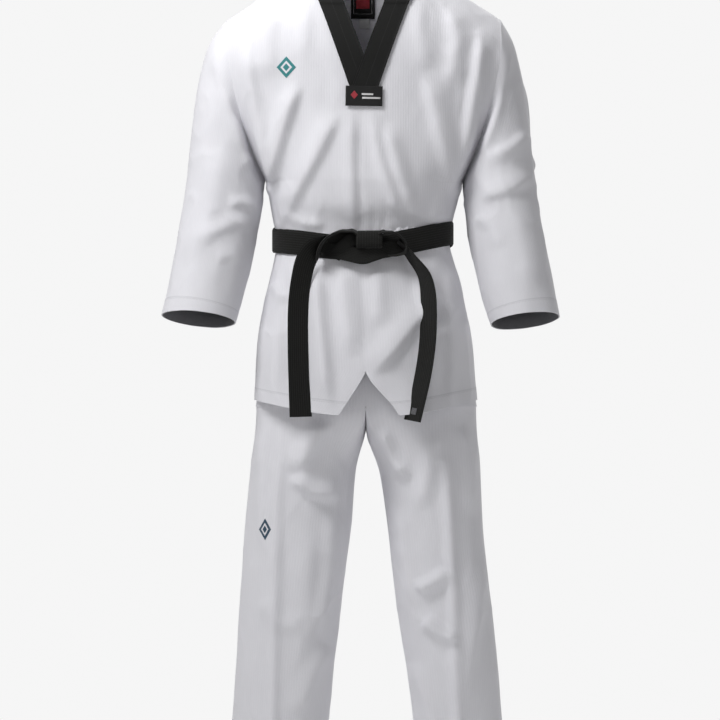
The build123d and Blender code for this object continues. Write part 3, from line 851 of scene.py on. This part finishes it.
# ---------------------------------------------------------------- marks and labels
def plaque(name, surface, outline, thickness, material, base=0.0):
    """A thin closed plate with an (x, z) outline, laid on the front of the jacket."""
    middle = np.mean(outline, axis=0)
    count = len(outline)
    rings = [1.0, 0.96, 0.66, 0.33]
    lifts = [0.0, thickness, thickness, thickness]
    points = [lay(surface, x, z, base) for x, z in outline]
    for ring, lift in zip(rings, lifts):
        for x, z in outline:
            place = middle + (np.array([x, z]) - middle) * ring
            points.append(lay(surface, *place, base + lift + 0.15))
    points.append(lay(surface, *middle, base + thickness + 0.15))
    points.append(lay(surface, *middle, base))
    faces = []
    for ring in range(len(rings)):
        for i in range(count):
            j = (i + 1) % count
            low, high = ring * count, (ring + 1) * count
            faces.append([low + i, low + j, high + j, high + i])
    top, bottom = len(points) - 2, len(points) - 1
    last = len(rings) * count
    for i in range(count):
        j = (i + 1) % count
        faces.append([last + i, last + j, top])
        faces.append([j, i, bottom])
    uv = np.array([(p[0], p[2]) for p in points])
    return tidy_normals(make_mesh(name, points, faces, uv, None, material))


def rectangle(x, z, width, height, turn=0.0, steps=12):
    """Outline of a rectangle about (x, z), in small steps, turned by an angle in degrees."""
    corners = [(-0.5, -0.5), (0.5, -0.5), (0.5, 0.5), (-0.5, 0.5)]
    c, s = math.cos(math.radians(turn)), math.sin(math.radians(turn))
    outline = []
    for (ax, az), (bx, bz) in zip(corners, corners[1:] + corners[:1]):
        for step in range(steps):
            u, w = mix(ax, bx, step / steps) * width, mix(az, bz, step / steps) * height
            outline.append((x + u * c - w * s, z + u * s + w * c))
    return np.array(outline)


# ---------------------------------------------------------------- belt
def belt_path(lift, count=220):
    """Points round the waist from the front middle towards +X, lifted off the jacket."""
    turn = np.linspace(0, 2 * math.pi, count, endpoint=False)
    wide = np.where(np.sin(turn) > 0, 149.5, 153.5) + lift
    x = wide * np.sign(np.sin(turn)) * np.abs(np.sin(turn)) ** (2 / WAIST_POWER)
    y = -(110.5 + lift) * np.sign(np.cos(turn)) * np.abs(np.cos(turn)) ** (2 / WAIST_POWER)
    return np.column_stack([x, y, belt_height(x, y)])


def belt_wrap(name, lift, drop, material):
    """One turn of the belt, closed on itself."""
    path = belt_path(lift)
    path[:, 2] += drop + 0.8 * np.sin(np.arange(len(path)) / 17.0)
    outward = path * np.array([1 / 156.0**2, 1 / 110.0**2, 0])
    outward /= np.linalg.norm(outward, axis=1, keepdims=True)
    columns = 15
    share = np.linspace(-1, 1, columns)
    edge = (1 - np.abs(share) ** 12) ** 0.5 * 0.5
    profile = [(s, e) for s, e in zip(share, edge)]
    profile += [(s, -e) for s, e in zip(share[::-1][1:-1], edge[::-1][1:-1])]
    grid = np.stack(
        [
            path + outward * (e * BELT_THICK) + np.array([0, 0, s * BELT_WIDTH / 2])
            for s, e in profile
        ],
        axis=1,
    )
    rows, loop = grid.shape[:2]
    index = np.arange(rows * loop).reshape(rows, loop)
    faces = []
    add_quads(faces, np.concatenate([index, index[:1]]), closed=True)
    across = [s * BELT_WIDTH / 2 for s, _ in profile]
    uv = np.column_stack([np.tile(across, rows), np.repeat(lengths(path), loop)])
    return tidy_normals(make_mesh(name, grid.reshape(-1, 3), faces, uv, None, material))


def facing(angles):
    """Directions across a strap, each turned out of the picture plane by an angle in degrees."""
    return [(math.cos(math.radians(a)), math.sin(math.radians(a)), 0) for a in angles]


def knot(material):
    """The folds of the knot: two loops seen edge on, the band across the middle and the folds below."""
    outer_loop = [
        (-80, -124, -524), (-79, -131, -514), (-74, -137, -501), (-65, -140, -490), (-52, -141, -482),
        (-37, -141, -478), (-23, -139, -478), (-8, -133, -484),
    ]
    across_fold = [
        (-52, -121, -523), (-45, -128, -514), (-34, -134, -503), (-22, -135, -494), (-8, -130, -489),
    ]
    under_fold = [
        (-66, -124, -510), (-44, -131, -514), (-22, -137, -519), (-3, -139, -523), (18, -138, -517),
        (42, -134, -509), (68, -127, -505),
    ]
    other_loop = [
        (22, -132, -484), (34, -139, -480), (48, -141, -480), (60, -140, -485), (69, -138, -494),
        (73, -136, -505), (71, -133, -514), (60, -131, -519), (42, -130, -521),
    ]
    middle_band = [
        (9, -120, -485), (9, -131, -479), (9, -142, -480.5), (9, -148, -488), (9, -149, -497),
        (9, -146, -504), (9, -139, -507), (9, -131, -504),
    ]
    inside_loop = [
        (-72, -121, -516), (-62, -122, -503), (-47, -123, -495), (-28, -123, -491), (-6, -122, -492),
    ]
    folds = [
        ("knot_back_fold", inside_loop, (0.35, 0.1, -0.93), 26, 0.0),
        ("knot_right_loop", outer_loop, (0.20, 1, 0.12), 27, 0.0),
        ("knot_cross_fold", across_fold, (0.72, 0.12, -0.68), 23, 1.5),
        ("knot_lower_fold", under_fold, (0.05, 0.12, 1), 27, 2.0),
        ("knot_left_loop", other_loop, (-0.18, 1, 0.10), 27, 0.0),
        ("knot_centre_band", middle_band, (1, 0, 0.01), 46, 0.0),
    ]
    return [
        strap(name, path, [across] * len(path), width, BELT_THICK, material, rows=80, bulge=bulge)
        for name, path, across, width, bulge in folds
    ]


RIGHT_TAIL = [
    (-64, -128, -494), (-84, -130, -506), (-98, -133, -523), (-110.5, -138, -570), (-115, -142, -640),
    (-114, -147, -720), (-110, -152, -802),
]
RIGHT_TAIL_TURN = [50, 34, 30, 33, 31, 31, 22]
LEFT_TAIL = [
    (58, -123, -500), (70, -125, -510), (82, -131, -524), (106, -140, -560), (112.5, -144, -613),
    (110.5, -147, -674), (102.5, -150, -730), (84, -154, -809),
]
LEFT_TAIL_TURN = [-70, -70, -67, -55, -47, -46, -46, -44]


# ---------------------------------------------------------------- waistband
def waistband(material):
    """The gathered casing of the trousers' waist."""
    rows = [(-512, 0.0), (-510, 2.2), (-498, 3.0), (-491, 2.1), (-484, 3.0), (-472, 2.4), (-470, 0.0)]
    rows += [(-470.5, -2.0), (-484, -2.4), (-498, -2.4), (-511.5, -2.0)]
    turn = np.linspace(0, 2 * math.pi, 560, endpoint=False)
    gather = np.sin(78 * turn + 3 * np.sin(9 * turn))
    grid = []
    for z, out in rows:
        wide = 146.0 + out + 1.1 * gather * np.sign(out)
        deep = 106.0 + out + 1.1 * gather * np.sign(out)
        x = wide * np.sign(np.sin(turn)) * np.abs(np.sin(turn)) ** 0.8
        y = -deep * np.sign(np.cos(turn)) * np.abs(np.cos(turn)) ** 0.8
        grid.append(np.column_stack([x, y, np.full(len(turn), z)]))
    grid = np.array(grid)
    index = np.arange(grid.shape[0] * grid.shape[1]).reshape(grid.shape[:2])
    faces = []
    add_quads(faces, np.concatenate([index, index[:1]]), closed=True)
    uv = np.column_stack([np.tile(turn * 130, len(rows)), -grid[..., 2].ravel()])
    return tidy_normals(make_mesh("waistband", grid.reshape(-1, 3), faces, uv, None, material))


# ---------------------------------------------------------------- materials
class Nodes:
    """Short hand for building a material from shader nodes."""

    def __init__(self, name):
        self.material = bpy.data.materials.new(name)
        self.material.use_nodes = True
        self.tree = self.material.node_tree
        self.shader = self.tree.nodes["Principled BSDF"]

    def add(self, kind, **values):
        node = self.tree.nodes.new(kind)
        for key, value in values.items():
            if key in node.inputs:
                self.feed(node.inputs[key], value)
            else:
                setattr(node, key, value)
        return node

    def feed(self, socket, value):
        if isinstance(value, bpy.types.NodeSocket):
            self.tree.links.new(value, socket)
        else:
            socket.default_value = value

    def math(self, operation, a, b=0.0, clamp=False):
        node = self.add("ShaderNodeMath", operation=operation, use_clamp=clamp)
        self.feed(node.inputs[0], a)
        self.feed(node.inputs[1], b)
        return node.outputs[0]

    def colour(self, share, a, b):
        node = self.add("ShaderNodeMix", data_type="RGBA")
        self.feed(node.inputs["Factor"], share)
        self.feed(node.inputs["A"], a)
        self.feed(node.inputs["B"], b)
        return node.outputs["Result"]

    def value(self, attribute):
        return self.add("ShaderNodeAttribute", attribute_name=attribute).outputs["Fac"]

    def weave(self):
        """The cloth's own coordinates in metres: across and along."""
        place = self.add("ShaderNodeUVMap", uv_map="Weave").outputs[0]
        split = self.add("ShaderNodeSeparateXYZ", Vector=place)
        return split.outputs["X"], split.outputs["Y"]

    def noise(self, scale, detail=3.0, stretch=(1, 1, 1)):
        """A cloudy value from 0 to 1 that stays with the piece."""
        place = self.add("ShaderNodeTexCoord").outputs["Object"]
        scaled = self.add("ShaderNodeMapping", Vector=place, Scale=stretch)
        node = self.add("ShaderNodeTexNoise", Vector=scaled.outputs[0], Scale=scale, Detail=detail)
        return node.outputs["Fac"]

    def wave(self, value, period):
        """A smooth wave from 0 to 1 along a coordinate."""
        turned = self.math("MULTIPLY", value, 2 * math.pi / period)
        return self.math("ADD", self.math("MULTIPLY", self.math("SINE", turned), 0.5), 0.5)

    def bump(self, height, distance, strength=1.0):
        node = self.add("ShaderNodeBump", Height=height, Distance=distance, Strength=strength)
        self.feed(self.shader.inputs["Normal"], node.outputs["Normal"])

    def finish(self, colour, roughness, sheen=0.0, specular=0.3):
        self.feed(self.shader.inputs["Base Color"], colour)
        self.feed(self.shader.inputs["Roughness"], roughness)
        self.feed(self.shader.inputs["Sheen Weight"], sheen)
        self.feed(self.shader.inputs["Sheen Roughness"], 0.5)
        self.feed(self.shader.inputs["Specular IOR Level"], specular)
        return self.material


def cloth_material():
    """White ribbed cloth: fine ribs, slubs, rows of topstitching at the hems, a line of painted shade along
    the top edge of each hem, and painted shade that darkens the inner faces.
    """
    n = Nodes("white_cloth")
    across, down = n.weave()
    drift = n.math("MULTIPLY", n.noise(9.0), 0.004)
    across = n.math("ADD", across, drift)
    rib = n.wave(across, 0.0046)
    twill = n.wave(n.math("ADD", across, n.math("MULTIPLY", down, 0.5)), 0.0017)
    slub = n.noise(90.0, 4.0, (3, 3, 0.4))
    hem = n.value("hem")
    row = n.math("LESS_THAN", n.math("ABSOLUTE", n.math("SUBTRACT", hem, 20.5)), 0.8)
    dash = n.math("GREATER_THAN", n.wave(across, 0.0042), 0.28)
    stitch = n.math("MULTIPLY", row, dash)
    # Painted shade: a dark line along the top edge of each turned-up hem, where the step of the fold is in
    # shadow.
    hem_edge_shade = n.math("LESS_THAN", n.math("ABSOLUTE", n.math("SUBTRACT", hem, 23.0)), 1.1)
    blotch = n.noise(5.0, 3.0)
    base = n.colour(blotch, (0.67, 0.665, 0.705, 1), (0.745, 0.74, 0.775, 1))
    ribbed = n.colour(n.math("MULTIPLY", rib, 0.16), base, (0.60, 0.60, 0.64, 1))
    flecked = n.colour(n.math("MULTIPLY", slub, 0.20), ribbed, (0.88, 0.88, 0.90, 1))
    # Darkens the line along the hem's top edge: painted shade.
    sewn = n.colour(n.math("MULTIPLY", hem_edge_shade, 0.25), flecked, (0.40, 0.40, 0.43, 1))
    sewn = n.colour(n.math("MULTIPLY", stitch, 0.35), sewn, (0.55, 0.55, 0.58, 1))
    # Painted shade: faces with the value "inside" are darkened towards dark grey, standing in for the shadow
    # inside the sleeves.
    inside = n.colour(n.value("inside"), sewn, (0.13, 0.13, 0.14, 1))
    height = n.math("ADD", n.math("MULTIPLY", rib, 0.22), n.math("MULTIPLY", twill, 0.30))
    height = n.math("ADD", height, n.math("MULTIPLY", slub, 0.6))
    height = n.math("SUBTRACT", height, n.math("MULTIPLY", row, 1.2))
    n.bump(height, 0.0006, 0.75)
    rough = n.math("ADD", n.math("MULTIPLY", slub, 0.18), 0.66)
    return n.finish(inside, rough, sheen=0.12, specular=0.25)


def black_material(name, stitch_rows, rib_period, tone):
    """Black woven cotton with rows of stitching along its length."""
    n = Nodes(name)
    across, along_it = n.weave()
    rib = n.wave(along_it, rib_period)
    grain = n.noise(260.0, 3.0)
    slow = n.noise(14.0, 3.0)
    lines = 0.0
    for place in stitch_rows:
        near = n.math("LESS_THAN", n.math("ABSOLUTE", n.math("SUBTRACT", across, place)), 0.00045)
        lines = n.math("MAXIMUM", lines, near)
    dash = n.math("GREATER_THAN", n.wave(along_it, 0.0032), 0.3)
    thread = n.math("MULTIPLY", lines, dash)
    base = n.colour(slow, [c * 0.8 for c in tone] + [1], [c * 1.3 for c in tone] + [1])
    woven = n.colour(n.math("MULTIPLY", grain, 0.4), base, [c * 2.2 for c in tone] + [1])
    sewn = n.colour(n.math("MULTIPLY", thread, 0.5), woven, (0.035, 0.035, 0.036, 1))
    height = n.math("ADD", n.math("MULTIPLY", rib, 0.5), n.math("MULTIPLY", grain, 0.5))
    height = n.math("SUBTRACT", height, n.math("MULTIPLY", lines, 1.3))
    n.bump(height, 0.0005, 0.7)
    rough = n.math("ADD", n.math("MULTIPLY", grain, 0.2), 0.68)
    return n.finish(sewn, rough, sheen=0.04, specular=0.18)


def thread_material(name, tone):
    """Satin embroidery: shiny parallel threads."""
    n = Nodes(name)
    across, along_it = n.weave()
    lay_of_thread = n.wave(n.math("ADD", across, n.math("MULTIPLY", along_it, 0.35)), 0.0011)
    mottle = n.noise(300.0, 2.0)
    darker = [c * 0.72 for c in tone] + [1]
    colour = n.colour(n.math("MULTIPLY", lay_of_thread, 0.6), list(tone) + [1], darker)
    n.bump(n.math("ADD", lay_of_thread, mottle), 0.0004, 0.8)
    rough = n.math("ADD", n.math("MULTIPLY", mottle, 0.15), 0.38)
    return n.finish(colour, rough, sheen=0.1, specular=0.5)


# ---------------------------------------------------------------- put together
cloth = cloth_material()
collar_cloth = black_material("collar_black", (0.003, 0.021, 0.039), 0.0016, (0.0075, 0.0075, 0.0072))
belt_rows = [(row - 4.5) * 0.0042 for row in range(10)]
belt_cloth = black_material("belt_black", belt_rows, 0.0011, (0.0062, 0.0062, 0.0055))
label_black = black_material("label_black", (), 0.0012, (0.012, 0.012, 0.012))
label_white = thread_material("label_white", (0.72, 0.72, 0.72))
thread_teal = thread_material("thread_teal", (0.045, 0.27, 0.28))
thread_navy = thread_material("thread_navy", (0.030, 0.075, 0.12))
thread_red = thread_material("thread_red", (0.42, 0.035, 0.05))
thread_grey = thread_material("thread_grey", (0.10, 0.10, 0.11))

jacket = jacket_body(cloth)
surface, back = half_surface(-1), half_surface(1)
sleeves = {side: sleeve(side, cloth) for side in (1, -1)}
bands = {side: collar_band(side, (surface, back), collar_cloth, 2.6 if side > 0 else 1.0) for side in (1, -1)}
hip = hips(cloth)
legs = {side: leg(side, cloth) for side in (1, -1)}
casing = waistband(cloth)
inner_wrap = belt_wrap("belt_inner_turn", 2.4, 1.0, belt_cloth)
outer_wrap = belt_wrap("belt_outer_turn", 6.2, -0.4, belt_cloth)
folds = knot(belt_cloth)
right_tail, left_tail = [
    strap(f"{name}_tail_strap", path, facing(turns), BELT_WIDTH, BELT_THICK, belt_cloth, rows=150)
    for name, path, turns in (("right", RIGHT_TAIL, RIGHT_TAIL_TURN), ("left", LEFT_TAIL, LEFT_TAIL_TURN))
]


# ---------------------------------------------------------------- tab, labels and marks
TAB = (0.0, -243.0)
CHEST_MARK = (-135.5, -192.5)
LEG_MARK = (-173.0, -999.0)
LABEL_X = -2.0


def lozenge(centre, width, height):
    """Outline of an upright lozenge with many points along its sides."""
    corners = [(0, 0.5), (-0.5, 0), (0, -0.5), (0.5, 0)]
    outline = []
    for (ax, az), (bx, bz) in zip(corners, corners[1:] + corners[:1]):
        for step in range(10):
            u, w = mix(ax, bx, step / 10) * width, mix(az, bz, step / 10) * height
            outline.append((centre[0] + u, centre[1] + w))
    return np.array(outline)


def mark(name, surface, centre, width, height, thread, ground):
    """A plain embroidered mark: a lozenge with a pale lozenge and a small one inside it."""
    parts = [(1.0, 0.7, thread), (0.62, 1.2, ground), (0.36, 1.7, thread)]
    return [
        plaque(f"{name}_{number}", surface, lozenge(centre, width * size, height * size), lift, material)
        for number, (size, lift, material) in enumerate(parts)
    ]


tab = [
    plaque("collar_tab", surface, rectangle(*TAB, 64, 35, -1.0), 1.6, label_black, 4.4),
    plaque("tab_bar_upper", surface, rectangle(6, -240, 20, 3.2, -1.0, 4), 0.7, label_white, 5.8),
    plaque("tab_bar_lower", surface, rectangle(12.5, -246.5, 32, 3.2, -1.0, 4), 0.7, label_white, 5.8),
    plaque("tab_mark", surface, lozenge((-17, -241), 13, 15), 0.7, thread_red, 5.8),
]
chest_mark = mark("chest_mark", surface_of(jacket), CHEST_MARK, 34, 38, thread_teal, cloth)
leg_mark = mark("leg_mark", surface_of(legs[-1]), LEG_MARK, 21, 38, thread_navy, cloth)
labels = [
    plaque("neck_label_ground", back, rectangle(LABEL_X, -72, 42, 54), 1.2, label_black, 3.0),
    plaque("neck_label_field", back, rectangle(LABEL_X, -69, 34, 44), 0.4, label_white, 3.9),
    plaque("neck_label_panel", back, rectangle(LABEL_X, -69, 32, 42), 0.4, label_black, 4.2),
    plaque("neck_label_block", back, rectangle(LABEL_X, -66, 24, 30), 0.4, thread_red, 4.5),
    plaque("size_label_plate", back, rectangle(0.5, -107, 18, 18), 0.5, label_white, 2.6),
]


def end_mark():
    """A small grey mark woven into the tip of the left belt end."""
    path = along(LEFT_TAIL, np.linspace(0.93, 0.965, 4))
    turn = math.radians(LEFT_TAIL_TURN[-1])
    forward = np.array([math.sin(turn), -math.cos(turn), 0]) * (BELT_THICK / 2 + 0.3)
    across = facing([LEFT_TAIL_TURN[-1]] * 4)
    return strap("tail_tip_mark", path + forward, across, 12, 0.8, thread_grey, rows=12)


tip = end_mark()

# ---------------------------------------------------------------- floor, light and camera
LOOK_AT = (-0.007, -0.060, -0.703)
CAMERA_DISTANCE = 16.0
PICTURE_WIDTH = 1.26
FLOOR_Z = -1975.0  # low enough for the trousers to be pulled down to their limit
FLOOR_RADIUS = 3500.0


def floor_material():
    """Pale matt floor, lit a little from within so that it stays pale far from the lamps."""
    n = Nodes("floor_pale")
    n.feed(n.shader.inputs["Emission Color"], (1, 1, 1, 1))
    n.feed(n.shader.inputs["Emission Strength"], 0.15)
    return n.finish((0.93, 0.93, 0.93, 1), 0.8)


def area_light(name, place, size, power):
    """A square white lamp aimed at the middle of the uniform."""
    light = bpy.data.lights.new(name, "AREA")
    light.shape, light.size, light.energy = "SQUARE", size, power
    lamp = bpy.data.objects.new(name, light)
    lamp.location = place
    lamp.rotation_euler = (Vector(LOOK_AT) - Vector(place)).to_track_quat("-Z", "Y").to_euler()
    bpy.context.scene.collection.objects.link(lamp)


rim = np.linspace(0, 2 * math.pi, 96, endpoint=False)
disc = np.column_stack([np.cos(rim), np.sin(rim), np.zeros(96)]) * FLOOR_RADIUS + [0, 0, FLOOR_Z]
floor = make_mesh("floor", disc, [list(range(96))], None, None, floor_material())


def studio_world(horizon, dome):
    """A plain surround, pale round the horizon and dimmer above and below."""
    world = bpy.data.worlds.new("studio")
    world.use_nodes = True
    nodes, links = world.node_tree.nodes, world.node_tree.links
    place = nodes.new("ShaderNodeTexCoord")
    split = nodes.new("ShaderNodeSeparateXYZ")
    height = nodes.new("ShaderNodeMath")
    height.operation = "ABSOLUTE"
    ramp = nodes.new("ShaderNodeMapRange")
    ramp.interpolation_type = "SMOOTHSTEP"
    links.new(place.outputs["Generated"], split.inputs[0])
    links.new(split.outputs["Z"], height.inputs[0])
    links.new(height.outputs[0], ramp.inputs["Value"])
    for name, value in (("From Min", 0.04), ("From Max", 0.36), ("To Min", horizon), ("To Max", dome)):
        ramp.inputs[name].default_value = value
    nodes["Background"].inputs["Color"].default_value = (1, 1, 1, 1)
    links.new(ramp.outputs["Result"], nodes["Background"].inputs["Strength"])
    bpy.context.scene.world = world


studio_world(0.92, 0.10)
area_light("key", (-1.05, -1.15, 1.05), 0.8, 38)
area_light("overhead", (-0.2, 0.3, 1.9), 1.2, 22)
area_light("fill", (2.2, -3.6, -0.2), 2.4, 3)
area_light("back", (1.2, 3.2, 1.2), 2.0, 45)
bpy.context.scene.view_settings.view_transform = "Standard"

camera = bpy.data.objects.new("camera", bpy.data.cameras.new("camera"))
camera.data.sensor_width = 36
camera.data.lens = 36 * CAMERA_DISTANCE / PICTURE_WIDTH
camera.location = (LOOK_AT[0], LOOK_AT[1] - CAMERA_DISTANCE, LOOK_AT[2])
camera.rotation_euler = (math.radians(90), 0, 0)
bpy.context.scene.collection.objects.link(camera)
bpy.context.scene.camera = camera

# ---------------------------------------------------------------- what each piece stands for and rides on
for side, name in ((1, "left"), (-1, "right")):
    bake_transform(sleeves[side])
    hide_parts(f"{name}_sleeve_front", f"{name}_sleeve_back", f"{name}_cuff_facing")
    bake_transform(legs[side])
    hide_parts(f"{name}_leg_front", f"{name}_leg_back", f"{name}_ankle_facing")
    tail = left_tail if side > 0 else right_tail
    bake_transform(tail)
    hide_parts(f"{name}_belt_tail")

on_jacket = [jacket, *bands.values(), inner_wrap, outer_wrap, *folds, *tab, *chest_mark, *labels]
riders = [(piece, "jacket") for piece in on_jacket]
riders += [(piece, "trousers") for piece in (hip, casing)]
riders += [(piece, "right_leg") for piece in leg_mark]
riders.append((tip, "left_belt_end"))
for piece, body in riders:
    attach(piece, body)

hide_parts(*[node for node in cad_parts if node.startswith("jacket_")])
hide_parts("collar_left", "collar_back")
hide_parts("collar_right")
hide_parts("collar_patch")
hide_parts("chest_emblem")
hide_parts("neck_label")
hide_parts("size_label")
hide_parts("belt_inner_wrap")
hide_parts("belt_outer_wrap")
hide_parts("knot_core")
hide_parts("knot_right_fold")
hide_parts("knot_left_fold")
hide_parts("belt_end_mark")
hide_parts("hip_front_left", "hip_front_right", "hip_back_left", "hip_back_right", "crotch_gusset")
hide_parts("waistband_casing", "waist_elastic")
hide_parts("leg_emblem")
